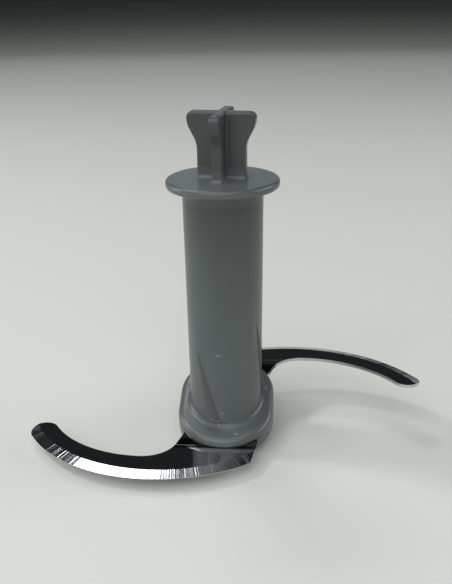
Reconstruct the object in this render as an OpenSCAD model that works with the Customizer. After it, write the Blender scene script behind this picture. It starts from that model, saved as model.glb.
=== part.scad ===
// Knife for the chopping bowl of a stick blender.
// A tall moulded hub with a four-vane drive coupling on top, moulded round a stamped two-wing steel blade.
// Millimetres. The axis of rotation is Z and the foot stands on Z = 0. The front is -Y.

/* [Stem] */
// Height of the flange's top face above the foot
stem_h = 85.8; // [70:0.1:110]
// Diameter of the stem under the flange
stem_top_d = 24; // [22:0.1:27]
// Diameter of the stem at the foot, less than at the top by the draft
stem_foot_d = 22.3; // [21:0.1:24]
// Chamfer round the foot
foot_chamfer = 0.7; // [0.2:0.1:1.5]

/* [Spindle bore] */
// Diameter of the blind bore that runs on the bowl's spindle
bore_d = 10; // [8:0.1:11]
// Depth of the bore above the foot
bore_depth = 72; // [50:0.5:80]
// Lead-in chamfer at the mouth of the bore
bore_chamfer = 0.8; // [0.2:0.1:1.5]
// Plastic left between the bore and the hole in the blade
bore_sleeve = 2.4; // [1.5:0.1:3]

/* [Flange] */
// Diameter of the flange under the coupling
flange_d = 33.5; // [30:0.1:38]
// Thickness of the flange
flange_t = 2.55; // [1.8:0.05:4]
// Rounding of the flange's rim
flange_round = 0.9; // [0.3:0.05:1.2]
// Fillet between the flange's underside and the stem
flange_fillet = 1.2; // [0.4:0.1:2]

/* [Drive coupling] */
// Number of vanes
vanes = 4; // [3:1:6]
// Turn of the cross, from +X to the first vane, in degrees
vane_turn = -13; // [-45:1:45]
// Thickness of a vane
vane_t = 3; // [2:0.1:4]
// Height of the vanes above the flange
vane_h = 19.4; // [17:0.1:26]
// Radius of the straight lower part of the vanes
vane_low_r = 7.1; // [6:0.1:8.5]
// Radius of the flared top of the vanes
vane_top_r = 10; // [9.5:0.05:11.5]
// Radius of the two curves of the flare
flare_r = 7; // [4:0.5:9]
// Lean of the flare between its two curves, in degrees from upright
flare_lean = 28; // [20:1:40]
// Rounding of the top outer corners
vane_corner_r = 1.9; // [0.6:0.1:2.5]
// Rounding of the long edges along the top of a vane
vane_edge_r = 0.8; // [0.3:0.1:1.2]
// Fillet where the vanes stand on the flange
vane_fillet = 1.1; // [0.3:0.1:1.5]

/* [Flutes on the stem] */
// Direction of the upper end of the first flute, in degrees from +X
flute_turn = -138.2; // [-180:0.1:180]
// Height of the upper end of the first flute
flute_z = 34.4; // [28:0.1:50]
// Turn from the first flute to the second, in degrees
flute_pitch = 101; // [80:1:120]
// How much higher the second flute starts
flute_rise = 9; // [0:0.1:15]
// Height over which a flute reaches its full depth
flute_drop = 20.4; // [15:0.1:30]
// How far a flute winds round the stem over that height, in degrees
flute_wind = 30.5; // [10:0.5:45]
// Full depth of a flute
flute_depth = 1.8; // [0.8:0.1:2.5]
// Directions of the ramp and of the riser of a flute's section, from the radius at its upper end
flute_ramp = -31; // [-45:1:-15]
flute_riser = 48; // [35:1:65]

/* [Collar] */
// Height of the middle of the collar's upper face
collar_z = 13; // [11:0.1:16]
// Slope of the collar, in degrees
collar_slope = 18; // [12:0.5:24]
// Direction in which the collar slopes down, in degrees from +X
collar_turn = -94.5; // [-120:0.5:-60]
// Half the length of the collar along its slope
collar_half_l = 19.4; // [17:0.1:22]
// Half the width of the collar across its slope
collar_half_w = 15.15; // [14:0.05:17]
// Thickness of the collar
collar_t = 7; // [5:0.1:7.2]
// How far the upper face lies up the slope from the axis
collar_shift = 0.8; // [0:0.1:2]
// Rounding of the collar's upper edge
collar_lip_r = 2.2; // [0.5:0.1:2.4]
// Fillet between the collar's upper face and the stem, where the flutes run out
collar_fillet = 1.6; // [0.6:0.1:1.8]
// Rounding of the collar's lower edge
collar_under_r = 0.8; // [0.4:0.1:1.5]

/* [Blade sheet] */
// Thickness of the steel sheet
sheet_t = 1; // [0.8:0.05:1.5]
// Height of the low wing's top face
low_z = 5.2; // [4:0.1:7]
// Height of the high wing's top face above the low wing's
wing_step = 11.9; // [9:0.1:14]
// Distance of each fold from the axis
fold_x = 16; // [13:0.1:17]
// Inner radius of the folds
fold_r = 0.6; // [0.4:0.1:2]
// Flat steps that each fold is drawn with
fold_steps = 4; // [3:1:8]
// Half the width of the web between the folds
web_half_w = 11.5; // [10:0.1:12.5]

/* [Wing outline] */
// Centre of the low wing's cutting edge, which is one arc: its X
edge_x = -19.5; // [-22:0.1:-17]
// Its Y
edge_y = 16.4; // [14:0.1:19]
// Radius of the cutting edge
edge_r = 48.4; // [46:0.1:52]
// Centre of the long inner arc, which ends at the round tip: its X
inner_x = -23.1; // [-25:0.1:-21]
// Its Y
inner_y = 15.1; // [13:0.1:17]
// Radius of the short inner arc that curls in to the hub
curl_r = 10.3; // [7:0.1:13]
// Where the long arc passes into the short one, in degrees from +X
curl_turn = -95.5; // [-105:0.5:-80]
// Direction of the tip from the centre of the cutting edge, in degrees
tip_turn = 207.5; // [195:0.5:215]
// Radius of the round tip
tip_r = 4.3; // [3:0.1:5]
// Lean of the straight edge between the curl and the collar, in degrees from the front-to-back direction
neck_lean = 32; // [20:1:45]
// X of the heel, where the cutting edge ends
heel_x = 6.9; // [4:0.1:9]
// Lean of the heel cut, in degrees from the front-to-back direction
heel_lean = 15.6; // [0:0.1:30]
// Width of the ground bevel
bevel_w = 3.5; // [2:0.1:5]
// Thickness left at the cutting edge
edge_t = 0.12; // [0.05:0.01:0.3]

/* [Hidden] */
$fn = 128;
eps = 0.01;
// Overlap where one curve runs into the next
lap = 0.002;
// Middle thickness of the sheet along a bend, and the slope of the web that joins the two bends
bend_m = fold_r + sheet_t / 2;
web_run = 2 * fold_x;
// The wings are flat from here on, clear of the collar, and the folded middle runs a little way into them
flat_from = max(fold_x, collar_half_l + collar_shift) + 0.5;
fold_to = flat_from + 0.3;
web_base = wing_step - 2 * bend_m;
web_slope = atan2(web_base, web_run) + asin(2 * bend_m / norm([web_run, web_base]));
high_z = low_z + wing_step;
blade_hole_d = bore_d + 2 * bore_sleeve;
// Flare of the vanes: both curves, and the straight piece between them
flare_out = flare_r * (1 - cos(flare_lean));
flare_up = flare_r * sin(flare_lean);
flare_mid_x = vane_top_r - vane_low_r - 2 * flare_out;
flare_mid_y = flare_mid_x / tan(flare_lean);
flare_z1 = vane_h - vane_corner_r;
flare_z0 = flare_z1 - 2 * flare_up - flare_mid_y;
flare_normal = [cos(flare_lean), -sin(flare_lean)];
// Plan of a wing
edge_c = [edge_x, edge_y];
inner_c = [inner_x, inner_y];
tip_dir = [cos(tip_turn), sin(tip_turn)];
tip_c = edge_c + (edge_r - tip_r + lap) * tip_dir;
inner_r = norm(tip_c - inner_c) - tip_r + lap;
curl_c = inner_c + (inner_r - curl_r + lap) * [cos(curl_turn), sin(curl_turn)];
// A point in the open bay between the tip and the hub
bay = inner_c + inner_r / 2 * [cos(curl_turn - 30), sin(curl_turn - 30)];
neck = curl_c + (curl_r - lap) * [cos(neck_lean), -sin(neck_lean)];
neck_end = neck + (-web_half_w - neck[0]) * [1, 1 / tan(neck_lean)];
tip_in = inner_c + inner_r * (tip_c - inner_c) / norm(tip_c - inner_c);
heel = [heel_x, edge_y - sqrt(edge_r ^ 2 - (heel_x - edge_x) ^ 2)];
heel_dir = [sin(heel_lean), cos(heel_lean)];
heel_top = heel + (neck_end[1] - heel[1]) / cos(heel_lean) * heel_dir;
// Well outside the outline
far = 2 * edge_r;
stem_slope = (stem_top_d - stem_foot_d) / 2 / stem_h;

function stem_r(z) = stem_foot_d / 2 + stem_slope * z;

// Square corner at the origin with a concave quarter round of radius r cut from it
module fillet(r) {
  difference() {
    translate([-eps, -eps]) square(r + eps);
    translate([r, r]) circle(r);
  }
}

// Half section of a plate from the axis to radius r, between z0 and z1, with its two outer corners rounded
module rim_profile(r, z0, z1, r_low, r_high) {
  square_w = r - max(r_low, r_high);
  translate([0, z0]) square([square_w, z1 - z0]);
  translate([0, z0 + r_low]) square([r, z1 - z0 - r_low - r_high]);
  translate([0, z0]) square([r - r_low, r_low + eps]);
  translate([0, z1 - r_high - eps]) square([r - r_high, r_high + eps]);
  translate([r - r_low, z0 + r_low]) circle(r_low);
  translate([r - r_high, z1 - r_high]) circle(r_high);
}

module stem() {
  cylinder(h = foot_chamfer, r1 = stem_r(0) - foot_chamfer, r2 = stem_r(foot_chamfer));
  difference() {
    translate([0, 0, foot_chamfer])
      cylinder(h = stem_h - flange_t / 2 - foot_chamfer, r1 = stem_r(foot_chamfer), r2 = stem_r(stem_h));
    flute(flute_turn, flute_z);
    flute(flute_turn + flute_pitch, flute_z + flute_rise);
  }
}

// A flute is a leaning notch with one sloping side, the ramp, and one steep side, the riser.
// Its root starts on the stem's surface and sinks into it as it winds down.
module flute(turn, z) {
  top = [stem_r(z), 0, z];
  root_r = stem_r(z - flute_drop) - flute_depth;
  low = [root_r * cos(flute_wind), root_r * sin(flute_wind), z - flute_drop];
  along = top - low;
  lean_dir = atan2(along[1], along[0]);
  lean = atan2(norm([along[0], along[1]]), along[2]);
  reach = 12;
  rotate([0, 0, turn]) translate(low) rotate([0, 0, lean_dir]) rotate([0, lean, 0]) rotate([0, 0, -lean_dir])
    translate([0, 0, -z])
      linear_extrude(height = z + norm(along) + 4)
        polygon([
          [0, 0],
          reach * [cos(flute_ramp), sin(flute_ramp)],
          1.3 * reach * [cos(flute_ramp / 2 + flute_riser / 2), sin(flute_ramp / 2 + flute_riser / 2)],
          reach * [cos(flute_riser), sin(flute_riser)]
        ]);
}

module flange() {
  rotate_extrude() rim_profile(flange_d / 2, stem_h - flange_t, stem_h, flange_round, flange_round);
  // Fillet under the flange
  rotate_extrude()
    translate([stem_r(stem_h - flange_t) - 0.05, stem_h - flange_t]) mirror([0, 1]) fillet(flange_fillet);
}

// Upright outline of one vane, from the axis outwards. The flare is a concave curve, a straight piece and a convex curve.
module vane_profile() {
  difference() {
    polygon([
      [0, -eps],
      [vane_low_r, -eps],
      [vane_low_r + lap, flare_z0],
      [vane_low_r + flare_out, flare_z0 + flare_up] + lap * flare_normal,
      [vane_top_r - flare_out, flare_z1 - flare_up] - lap * flare_normal,
      [vane_top_r, flare_z1],
      [vane_top_r - vane_corner_r, vane_h],
      [0, vane_h]
    ]);
    translate([vane_low_r + flare_r, flare_z0]) circle(flare_r);
  }
  intersection() {
    translate([vane_top_r - flare_r, flare_z1]) circle(flare_r);
    polygon([
      [0, flare_z1 - flare_up - 1],
      [vane_top_r + 1, flare_z1 - flare_up - 1],
      [vane_top_r + 1, flare_z1],
      [0, flare_z1]
    ]);
  }
  translate([vane_top_r - vane_corner_r, flare_z1]) circle(vane_corner_r);
  translate([vane_low_r, 0]) fillet(vane_fillet);
}

// Section across a vane, with its two top edges rounded
module vane_section() {
  shoulder = vane_h - vane_edge_r;
  translate([-vane_t / 2, -eps]) square([vane_t, shoulder + eps]);
  translate([vane_edge_r - vane_t / 2, 0]) square([vane_t - 2 * vane_edge_r, vane_h + 1]);
  for (side = [-1, 1])
    translate([side * (vane_t / 2 - vane_edge_r), shoulder]) circle(vane_edge_r);
}

module vane() {
  intersection() {
    rotate([90, 0, 0]) linear_extrude(height = vane_t + 2, center = true) vane_profile();
    rotate([90, 0, 90]) linear_extrude(height = vane_top_r + 1) vane_section();
  }
  // Fillets along both faces of the vane
  for (side = [0, 1])
    mirror([0, side, 0]) translate([vane_low_r, vane_t / 2, 0]) rotate([90, 0, -90])
      linear_extrude(height = vane_low_r - vane_t / 2) mirror([1, 0]) fillet(vane_fillet);
}

module coupling() {
  translate([0, 0, stem_h])
    for (i = [0 : vanes - 1])
      rotate([0, 0, vane_turn + i * 360 / vanes]) vane();
}

// Sloping plate round the blade's web, with straight sides, round ends and rounded edges
module collar() {
  straight = collar_half_l - collar_half_w;
  translate([0, 0, collar_z]) rotate([0, 0, collar_turn]) rotate([0, collar_slope, 0])
    translate([-collar_shift, 0, -collar_t]) {
      for (end = [0, 1])
        mirror([end, 0, 0]) translate([straight, 0, 0])
          rotate([0, 0, -90]) rotate_extrude(angle = 180) collar_profile();
      for (side = [0, 1])
        mirror([0, side, 0]) translate([-straight, 0, 0]) rotate([90, 0, 90])
          linear_extrude(height = 2 * straight) collar_profile();
    }
}

// Fillet ring between the collar's upper face and the stem. A round ring is stretched and leant so that it
// runs square to the sloping face at its foot and along the upright stem at its top.
module collar_blend() {
  r = stem_r(collar_z) - 0.08;
  translate([0, 0, collar_z]) rotate([0, 0, collar_turn]) rotate([0, collar_slope, 0])
    multmatrix([
      [1 / cos(collar_slope), 0, -tan(collar_slope), 0],
      [0, 1, 0, 0],
      [0, 0, 1, 0]
    ])
      rotate_extrude() {
        translate([r, 0]) fillet(collar_fillet);
        translate([r - 3, -1]) square([3, 1 + collar_fillet]);
      }
}

module collar_profile() {
  rim_profile(collar_half_w, 0, collar_t, collar_under_r, collar_lip_r);
}

module bore() {
  translate([0, 0, -1]) cylinder(h = bore_depth + 1, d = bore_d);
  translate([0, 0, -eps]) cylinder(h = bore_chamfer + eps, d1 = bore_d + 2 * bore_chamfer, d2 = bore_d);
}

// Points along an arc, both ends included
function arc(c, r, from, to, steps) =
  [for (i = [0 : steps]) let (a = from + (to - from) * i / steps) c + r * [cos(a), sin(a)]];

// Side view of the folded middle of the sheet. The low wing joins it at +X, and both ends are a hair thinner.
module web_profile() {
  low_c = [fold_x, low_z + fold_r];
  high_c = [-fold_x, high_z - sheet_t - fold_r];
  polygon(concat(
    [[fold_to + 1, low_z - eps]],
    arc(low_c, fold_r, -90, -90 - web_slope, fold_steps),
    arc(high_c, fold_r + sheet_t, 90 - web_slope, 90, fold_steps),
    [[-fold_to - 1, high_z - eps], [-fold_to - 1, high_z - sheet_t + eps]],
    arc(high_c, fold_r, 90, 90 - web_slope, fold_steps),
    arc(low_c, fold_r + sheet_t, -90 - web_slope, -90, fold_steps),
    [[fold_to + 1, low_z - sheet_t + eps]]
  ));
}

// Plan of one wing: a crescent between the cutting edge and the inner arcs, closed by the tip and the heel
module wing_plan() {
  intersection() {
    difference() {
      translate(edge_c) circle(edge_r);
      translate(inner_c)
        intersection() {
          circle(inner_r);
          polygon([[0, 0], far * [cos(curl_turn), sin(curl_turn)], [-far, -far], [-far, far], [0, far]]);
        }
      translate(curl_c) circle(curl_r);
    }
    polygon([
      tip_c + far * tip_dir,
      tip_c,
      tip_in,
      bay,
      curl_c,
      neck,
      neck_end,
      heel_top,
      heel - far * heel_dir
    ]);
  }
  translate(tip_c) circle(tip_r);
}

// Both wings and the web. The high wing is the low one turned by half a turn.
module blade_plan() {
  for (turn = [0, 180]) rotate(turn) wing_plan();
  rotate(collar_turn) square(2 * [2 - neck_end[1], web_half_w], center = true);
}

// Strip across the middle, as wide as the sheet is there, out to x on both sides
module middle_strip(x) {
  rotate(collar_turn) square(2 * [x, -curl_c[0]], center = true);
}

// Ring outside the cone on which a cutting edge is ground
module grind(z) {
  translate([edge_c[0], edge_c[1], z])
    rotate_extrude($fn = 256)
      polygon([
        [edge_r - bevel_w, 0],
        [edge_r + bevel_w, 2 * (edge_t - sheet_t)],
        [edge_r + bevel_w, 1],
        [edge_r - bevel_w, 1]
      ]);
}

module flat_wing(z) {
  translate([0, 0, z - sheet_t])
    linear_extrude(height = sheet_t)
      difference() {
        wing_plan();
        middle_strip(flat_from);
      }
}

module folded_web() {
  difference() {
    intersection() {
      rotate([0, 0, collar_turn]) rotate([90, 0, 0])
        linear_extrude(height = far, center = true) web_profile();
      linear_extrude(height = high_z + 5)
        intersection() {
          blade_plan();
          middle_strip(fold_to);
        }
    }
    cylinder(h = high_z + 5, d = blade_hole_d);
  }
}

// The whole folded sheet, ground along both cutting edges
module sheet() {
  difference() {
    union() {
      flat_wing(low_z);
      rotate([0, 0, 180]) flat_wing(high_z);
      folded_web();
    }
    grind(low_z);
    rotate([0, 0, 180]) grind(high_z);
  }
}

module hub() {
  color([0.36, 0.39, 0.39])
    difference() {
      union() {
        stem();
        flange();
        coupling();
        collar();
        collar_blend();
      }
      bore();
      sheet();
    }
}

module blade() {
  color([0.72, 0.73, 0.74]) sheet();
}

hub();
blade();
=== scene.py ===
import math

import bpy
from mathutils import Matrix, Vector

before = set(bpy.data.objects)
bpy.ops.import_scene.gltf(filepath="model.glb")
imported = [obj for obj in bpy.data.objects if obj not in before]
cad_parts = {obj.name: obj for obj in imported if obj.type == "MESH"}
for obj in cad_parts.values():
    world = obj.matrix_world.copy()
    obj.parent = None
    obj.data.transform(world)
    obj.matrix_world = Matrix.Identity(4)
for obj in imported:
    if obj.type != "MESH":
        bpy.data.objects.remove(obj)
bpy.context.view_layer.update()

bpy.ops.object.select_all(action="DESELECT")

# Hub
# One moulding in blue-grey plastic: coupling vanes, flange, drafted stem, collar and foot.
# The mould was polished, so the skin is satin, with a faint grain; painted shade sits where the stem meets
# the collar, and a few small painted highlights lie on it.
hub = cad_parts["hub"]

# The paler tone is painted light towards the foot and on the flange, the darker one painted shade towards
# the top; the colour also drifts between them
PLASTIC = (0.091, 0.106, 0.106, 1.0)
PLASTIC_DARK = (0.045, 0.054, 0.054, 1.0)
PLASTIC_IOR = 1.49


def add(nodes, kind, name, **values):
    node = nodes.new(kind)
    node.name = node.label = name
    for key, value in values.items():
        setattr(node, key, value)
    return node


satin_plastic = bpy.data.materials.new("satin plastic")
satin_plastic.use_nodes = True
nodes = satin_plastic.node_tree.nodes
wire = satin_plastic.node_tree.links.new
skin = nodes["Principled BSDF"]
skin.inputs["Metallic"].default_value = 0.0
skin.inputs["IOR"].default_value = PLASTIC_IOR
place = add(nodes, "ShaderNodeTexCoord", "place")
point = add(nodes, "ShaderNodeSeparateXYZ", "point")
wire(place.outputs["Object"], point.inputs["Vector"])


# The functions that follow add to the material in hand, through its own nodes and wire
def feed(socket, value):
    if isinstance(value, bpy.types.NodeSocket):
        wire(value, socket)
    else:
        socket.default_value = value


def maths(name, operation, *values):
    node = add(nodes, "ShaderNodeMath", name, operation=operation)
    for socket, value in zip(node.inputs, values):
        feed(socket, value)
    return node.outputs["Value"]


def spread(name, value, start, end, low=0.0, high=1.0, clamp=True):
    node = add(nodes, "ShaderNodeMapRange", name, clamp=clamp)
    wire(value, node.inputs["Value"])
    node.inputs["From Min"].default_value = start
    node.inputs["From Max"].default_value = end
    node.inputs["To Min"].default_value = low
    node.inputs["To Max"].default_value = high
    return node.outputs["Result"]


def noise(name, scale, detail, at, dimensions="3D"):
    node = add(nodes, "ShaderNodeTexNoise", name, noise_dimensions=dimensions)
    node.inputs["Scale"].default_value = scale
    node.inputs["Detail"].default_value = detail
    wire(at, node.inputs["W" if dimensions == "1D" else "Vector"])
    return node.outputs["Fac"]


# The colour drifts a little in the moulding; painted shade darkens it towards the top, and painted light
# makes it paler towards the foot and on the flange
DRIFT_SCALE, DRIFT_DETAIL, DRIFT_SHARE = 38.0, 4.0, 0.5
PAINTED_SHADE_Z, PAINTED_LIGHT_Z = 0.085, 0.02
FLANGE_Z, FLANGE_LIGHT_END, FLANGE_LIGHT_FULL, FLANGE_LIGHT_SHARE = 0.0845, 0.0055, 0.0030, 0.75
TONE_START = 0.25
drift = noise("drift", DRIFT_SCALE, DRIFT_DETAIL, place.outputs["Object"])
height = spread("painted shade by height", point.outputs["Z"], PAINTED_SHADE_Z, PAINTED_LIGHT_Z, clamp=False)
past_flange = maths("past the flange", "SUBTRACT", point.outputs["Z"], FLANGE_Z)
from_flange = maths("from the flange", "ABSOLUTE", past_flange)
painted_flange_light = spread("painted light on the flange", from_flange, FLANGE_LIGHT_END, FLANGE_LIGHT_FULL, high=FLANGE_LIGHT_SHARE)
painted_pale_share = maths("painted_pale_share", "MAXIMUM", height, painted_flange_light)
drift_and_painted_light = maths("drift_and_painted_light", "MULTIPLY_ADD", drift, DRIFT_SHARE, painted_pale_share)
tone = add(nodes, "ShaderNodeValToRGB", "tone")
tone.color_ramp.elements[0].position = TONE_START
tone.color_ramp.elements[0].color = PLASTIC_DARK
tone.color_ramp.elements[1].color = PLASTIC
wire(drift_and_painted_light, tone.inputs["Fac"])

# Small painted spots, a painted shade and painted highlights: where each one lies, how far it reaches each
# way, and its colour
PAINTED_SPOTS = (
    # Painted shade where the stem meets the collar
    ("painted shade at the stem foot", (-0.0035, -0.0115, 0.0102), (0.0042, 0.004, 0.0022), (0.028, 0.036, 0.034, 1.0)),
    # Small painted highlights
    ("upper painted highlight", (-0.0022, -0.0112, 0.0338), (0.0013, 0.0008, 0.00022), (0.32, 0.34, 0.34, 1.0)),
    ("painted highlight over the collar", (-0.0012, -0.0111, 0.0141), (0.0006, 0.0006, 0.0003), (0.26, 0.28, 0.28, 1.0)),
    ("painted highlight at the fillet", (-0.0024, -0.0113, 0.0100), (0.0006, 0.0006, 0.0004), (0.20, 0.20, 0.20, 1.0)),
    ("painted highlight on the lip", (0.0029, -0.0143, 0.0084), (0.0007, 0.0005, 0.0005), (0.26, 0.28, 0.28, 1.0)),
    ("painted highlight at the right", (0.0130, 0.0039, 0.0146), (0.0004, 0.0009, 0.0006), (0.30, 0.32, 0.32, 1.0)),
)
SPOT_END, SPOT_FULL, SPOT_SHARE = 1.0, 0.2, 0.85


def vectors(name, operation, *values):
    node = add(nodes, "ShaderNodeVectorMath", name, operation=operation)
    for socket, value in zip(node.inputs, values):
        feed(socket, value)
    return node.outputs["Value" if operation == "LENGTH" else "Vector"]


def mix(name, share, first, second):
    node = add(nodes, "ShaderNodeMix", name, data_type="RGBA")
    wire(share, node.inputs["Factor"])
    feed(node.inputs["A"], first)
    feed(node.inputs["B"], second)
    return node.outputs["Result"]


colour = tone.outputs["Color"]
for name, centre, reach, spot_colour in PAINTED_SPOTS:
    offset = vectors(name + " offset", "SUBTRACT", place.outputs["Object"], centre)
    share = vectors(name + " share", "DIVIDE", offset, reach)
    length = vectors(name + " length", "LENGTH", share)
    inside = spread(name + " inside", length, SPOT_END, SPOT_FULL, high=SPOT_SHARE)
    colour = mix(name, inside, colour, spot_colour)
wire(colour, skin.inputs["Base Color"])

# Fine grain that breaks the gloss
PLASTIC_ROUGH, GLOSSIER, DULLER = 0.30, 0.03, 0.04
GRAIN_SCALE, GRAIN_DETAIL = 5000.0, 3.0
RELIEF_STRENGTH, RELIEF_DEPTH = 0.04, 0.00012
grain = noise("grain", GRAIN_SCALE, GRAIN_DETAIL, place.outputs["Object"])
gloss = spread("gloss", grain, 0.0, 1.0, PLASTIC_ROUGH - GLOSSIER, PLASTIC_ROUGH + DULLER)
wire(gloss, skin.inputs["Roughness"])
relief = add(nodes, "ShaderNodeBump", "relief")
relief.inputs["Strength"].default_value = RELIEF_STRENGTH
relief.inputs["Distance"].default_value = RELIEF_DEPTH
wire(grain, relief.inputs["Height"])
wire(relief.outputs["Normal"], skin.inputs["Normal"])

# The small rounding that a mould leaves on every edge
MOULD_ROUNDING, ROUNDING_SAMPLES = 0.0010, 16
soft_edge = add(nodes, "ShaderNodeBevel", "soft edge", samples=ROUNDING_SAMPLES)
soft_edge.inputs["Radius"].default_value = MOULD_ROUNDING
wire(soft_edge.outputs["Normal"], relief.inputs["Normal"])

for slot in hub.material_slots:
    slot.material = satin_plastic

# Blade
# One stamped and folded stainless sheet, polished like a mirror, with its middle inside the collar.
# The bevel along each outer edge is ground across the edge, which leaves fine marks and a few coarse ones.
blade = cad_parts["blade"]

STEEL = (0.62, 0.63, 0.65, 1.0)
EDGE_X, EDGE_Y = -0.0195, 0.0164
EDGE_R, BEVEL_W, BEVEL_MARGIN = 0.0484, 0.0035, 0.00002
WING_SPLIT_Z = 0.0110

polished_steel = bpy.data.materials.new("polished steel")
polished_steel.use_nodes = True
nodes = polished_steel.node_tree.nodes
wire = polished_steel.node_tree.links.new
sheet = nodes["Principled BSDF"]
sheet.inputs["Metallic"].default_value = 1.0
place = add(nodes, "ShaderNodeTexCoord", "place")
point = add(nodes, "ShaderNodeSeparateXYZ", "point")
wire(place.outputs["Object"], point.inputs["Vector"])

# The high wing is the low one turned by half a turn, so its points are turned back first
is_low = maths("is low wing", "LESS_THAN", point.outputs["Z"], WING_SPLIT_Z)
side = maths("side", "SUBTRACT", maths("twice", "MULTIPLY", is_low, 2.0), 1.0)
wing_x = maths("x", "MULTIPLY", point.outputs["X"], side)
wing_y = maths("y", "MULTIPLY", point.outputs["Y"], side)
from_x = maths("from edge centre x", "SUBTRACT", wing_x, EDGE_X)
from_y = maths("from edge centre y", "SUBTRACT", wing_y, EDGE_Y)
x_squared = maths("x squared", "POWER", from_x, 2.0)
y_squared = maths("y squared", "POWER", from_y, 2.0)
across = maths("radius", "SQRT", maths("radius squared", "ADD", x_squared, y_squared))
along = maths("angle along the edge", "ARCTAN2", from_y, from_x)
on_bevel = maths("on the bevel", "GREATER_THAN", across, EDGE_R - BEVEL_W + BEVEL_MARGIN)

# Grinding marks lie across the edge, so each one tips the surface a little to one side along it.
# Each kind has its number per radian and its detail.
FINE_MARKS, COARSE_MARKS, SCRATCHES = (110.0, 3.0), (36.0, 1.0), (120.0, 0.0)
FINE_TIP, COARSE_TIP, SCRATCH_TIP = 0.06, 0.07, 1.5
SCRATCH_LIMIT = 0.2
MARK_SLANT, WING_SHIFT = 1.2, 5.0
slant = maths("slight slant", "MULTIPLY", across, MARK_SLANT)
wing_apart = maths("wing apart", "ADD", along, maths("wing shift", "MULTIPLY", side, WING_SHIFT))
mark_place = maths("mark place", "ADD", slant, wing_apart)


def marks(name, per_radian, detail):
    height = noise(name, per_radian, detail, mark_place, dimensions="1D")
    return maths(name + " about zero", "SUBTRACT", height, 0.5)


fine_tip = maths("fine tip", "MULTIPLY", marks("fine marks", *FINE_MARKS), FINE_TIP)
coarse_tip = maths("coarse tip", "MULTIPLY", marks("coarse marks", *COARSE_MARKS), COARSE_TIP)
worn_tip = maths("worn tip", "ADD", fine_tip, coarse_tip)
scratch = marks("scratches", *SCRATCHES)
past_limit = maths("past the limit", "SUBTRACT", maths("either way", "ABSOLUTE", scratch), SCRATCH_LIMIT)
scratch_deep = maths("only the deep ones", "MAXIMUM", past_limit, 0.0)
scratch_side = maths("scratch side", "MULTIPLY", maths("which side", "SIGN", scratch), scratch_deep)
tip = maths("whole tip", "ADD", maths("scratch tip", "MULTIPLY", scratch_side, SCRATCH_TIP), worn_tip)
this_bevel = maths("bevel of this wing", "MULTIPLY", on_bevel, side)
bevel_tip = maths("tip on the bevel", "MULTIPLY", tip, this_bevel)
tip_share = maths("tip per metre", "DIVIDE", bevel_tip, across)
tip_way = add(nodes, "ShaderNodeCombineXYZ", "way along the edge")
minus_y = maths("minus y", "MULTIPLY", from_y, -1.0)
wire(maths("way x", "MULTIPLY", minus_y, tip_share), tip_way.inputs["X"])
wire(maths("way y", "MULTIPLY", from_x, tip_share), tip_way.inputs["Y"])
face = add(nodes, "ShaderNodeNewGeometry", "face")
tipped = vectors("tipped", "ADD", face.outputs["Normal"], tip_way.outputs["Vector"])
wire(vectors("ground", "NORMALIZE", tipped), sheet.inputs["Normal"])

# The polished faces are clear and the bevel is satin
CLEAR_ROUGH, SATIN_MORE = 0.07, 0.06
satin_share = maths("satin share", "MULTIPLY", on_bevel, SATIN_MORE)
wire(maths("finish", "ADD", satin_share, CLEAR_ROUGH), sheet.inputs["Roughness"])

# Painted shade darkens the steel along each bend, close to the collar, and mutes its bright reflection
# there
STEEL_PAINTED_SHADE = (0.10, 0.10, 0.095, 1.0)
SLOPE_X, SLOPE_Y = -0.0785, -0.9969
BEND_AT, BEND_HALF, BEND_REACH = 0.0153, 0.0020, 0.020
slope_x = maths("slope x", "MULTIPLY", point.outputs["X"], SLOPE_X)
slope_y = maths("slope y", "MULTIPLY", point.outputs["Y"], SLOPE_Y)
down_slope = maths("down the slope", "ADD", slope_x, slope_y)
wing_slope = maths("slope of this wing", "MULTIPLY", down_slope, side)
from_bend = maths("from the bend", "ABSOLUTE", maths("past the bend", "SUBTRACT", wing_slope, BEND_AT))
at_bend = maths("at the bend", "LESS_THAN", from_bend, BEND_HALF)
off_middle = maths("off the middle", "ABSOLUTE", point.outputs["X"])
near_collar = maths("near the collar", "LESS_THAN", off_middle, BEND_REACH)
on_bend = maths("on a bend", "MULTIPLY", at_bend, near_collar)
wire(mix("metal", on_bend, STEEL, STEEL_PAINTED_SHADE), sheet.inputs["Base Color"])

for slot in blade.material_slots:
    slot.material = polished_steel

# Floor
# The pale paper that the part stands on, carried far back so that it fills the picture.
FLOOR_SIZE, FLOOR_BACK = 6.0, 1.5
PAPER = (0.672, 0.694, 0.650, 1.0)
PAPER_ROUGH = 0.9
bpy.ops.mesh.primitive_plane_add(size=FLOOR_SIZE, location=(0, FLOOR_BACK, 0))
floor = bpy.context.object
floor.name = "floor"
paper = bpy.data.materials.new("paper")
paper.use_nodes = True
paper_skin = paper.node_tree.nodes["Principled BSDF"]
paper_skin.inputs["Base Color"].default_value = PAPER
paper_skin.inputs["Roughness"].default_value = PAPER_ROUGH
floor.data.materials.append(paper)

# World
# A dark room behind the paper, which the polished steel mirrors.
ROOM = (0.86, 0.93, 1.0, 1.0)
ROOM_STRENGTH = 0.02
room = bpy.data.worlds.new("room")
room.use_nodes = True
backdrop = room.node_tree.nodes["Background"]
backdrop.inputs["Color"].default_value = ROOM
backdrop.inputs["Strength"].default_value = ROOM_STRENGTH
bpy.context.scene.world = room

# Lights
# A wide ceiling and a wide front of soft light, a low box on each side, and a small lamp at the left.
# Behind stand a pale wall, which the flange mirrors,
# and a small box high up, which only the ground bevel mirrors.
WHITE, COOL = (1.0, 1.0, 1.0), (0.8, 0.95, 1.0)


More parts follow.
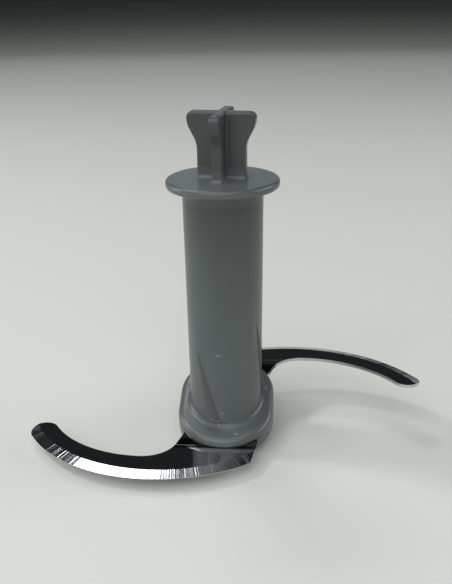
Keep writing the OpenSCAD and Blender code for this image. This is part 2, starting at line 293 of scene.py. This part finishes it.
def soft_box(name, place_at, aim_at, size, watts, colour=WHITE):
    lamp = bpy.data.lights.new(name, "AREA")
    lamp.shape = "RECTANGLE"
    lamp.size, lamp.size_y = size
    lamp.energy = watts
    lamp.color = colour
    box = bpy.data.objects.new(name, lamp)
    box.location = place_at
    box.rotation_euler = (Vector(aim_at) - Vector(place_at)).to_track_quat("-Z", "Y").to_euler()
    bpy.context.scene.collection.objects.link(box)


soft_box("ceiling", (-0.35, -0.5, 1.0), (-0.35, -0.4999, 0.0), (1.5, 1.1), 6.6)
soft_box("front", (-0.3, -1.0, 0.66), (0.0, 0.0, 0.05), (1.5, 0.9), 7.3)
soft_box("left window", (-1.08, 0.19, 0.3), (0.0, 0.0, 0.1), (0.55, 0.4), 3.3)
soft_box("lamp", (-0.62, 0.13, 0.79), (0.0, 0.0, 0.02), (0.12, 0.12), 1.9)
soft_box("right", (0.95, 0.1, 0.45), (0.0, 0.0, 0.1), (0.9, 0.35), 3.9)
soft_box("wall", (0.0, 1.25, 0.35), (0.0, 0.0, 0.35), (1.6, 0.26), 0.9, COOL)
soft_box("high behind", (-0.27, 0.61, 1.0), (-0.03, -0.025, 0.005), (0.38, 0.24), 2.0)

# Camera
# Above and in front of the part, looking down at it.
SENSOR = 36.0
FOCAL_PX, IMAGE_H_PX = 850.0, 584.0
CAMERA_AT = (0.00047, -0.24283, 0.14507)
LOOK_DOWN, ROLL = 21.38, -0.916
CLIP_START = 0.01
view = bpy.data.cameras.new("camera")
view.sensor_width = SENSOR
view.lens = SENSOR * FOCAL_PX / IMAGE_H_PX
view.clip_start = CLIP_START
camera = bpy.data.objects.new("camera", view)
camera.location = CAMERA_AT
tilt = Matrix.Rotation(math.radians(90 - LOOK_DOWN), 3, "X")
roll = Matrix.Rotation(math.radians(ROLL), 3, "Z")
camera.rotation_euler = (tilt @ roll).to_euler()
bpy.context.scene.collection.objects.link(camera)
bpy.context.scene.camera = camera

bpy.context.scene.view_settings.view_transform = "Standard"
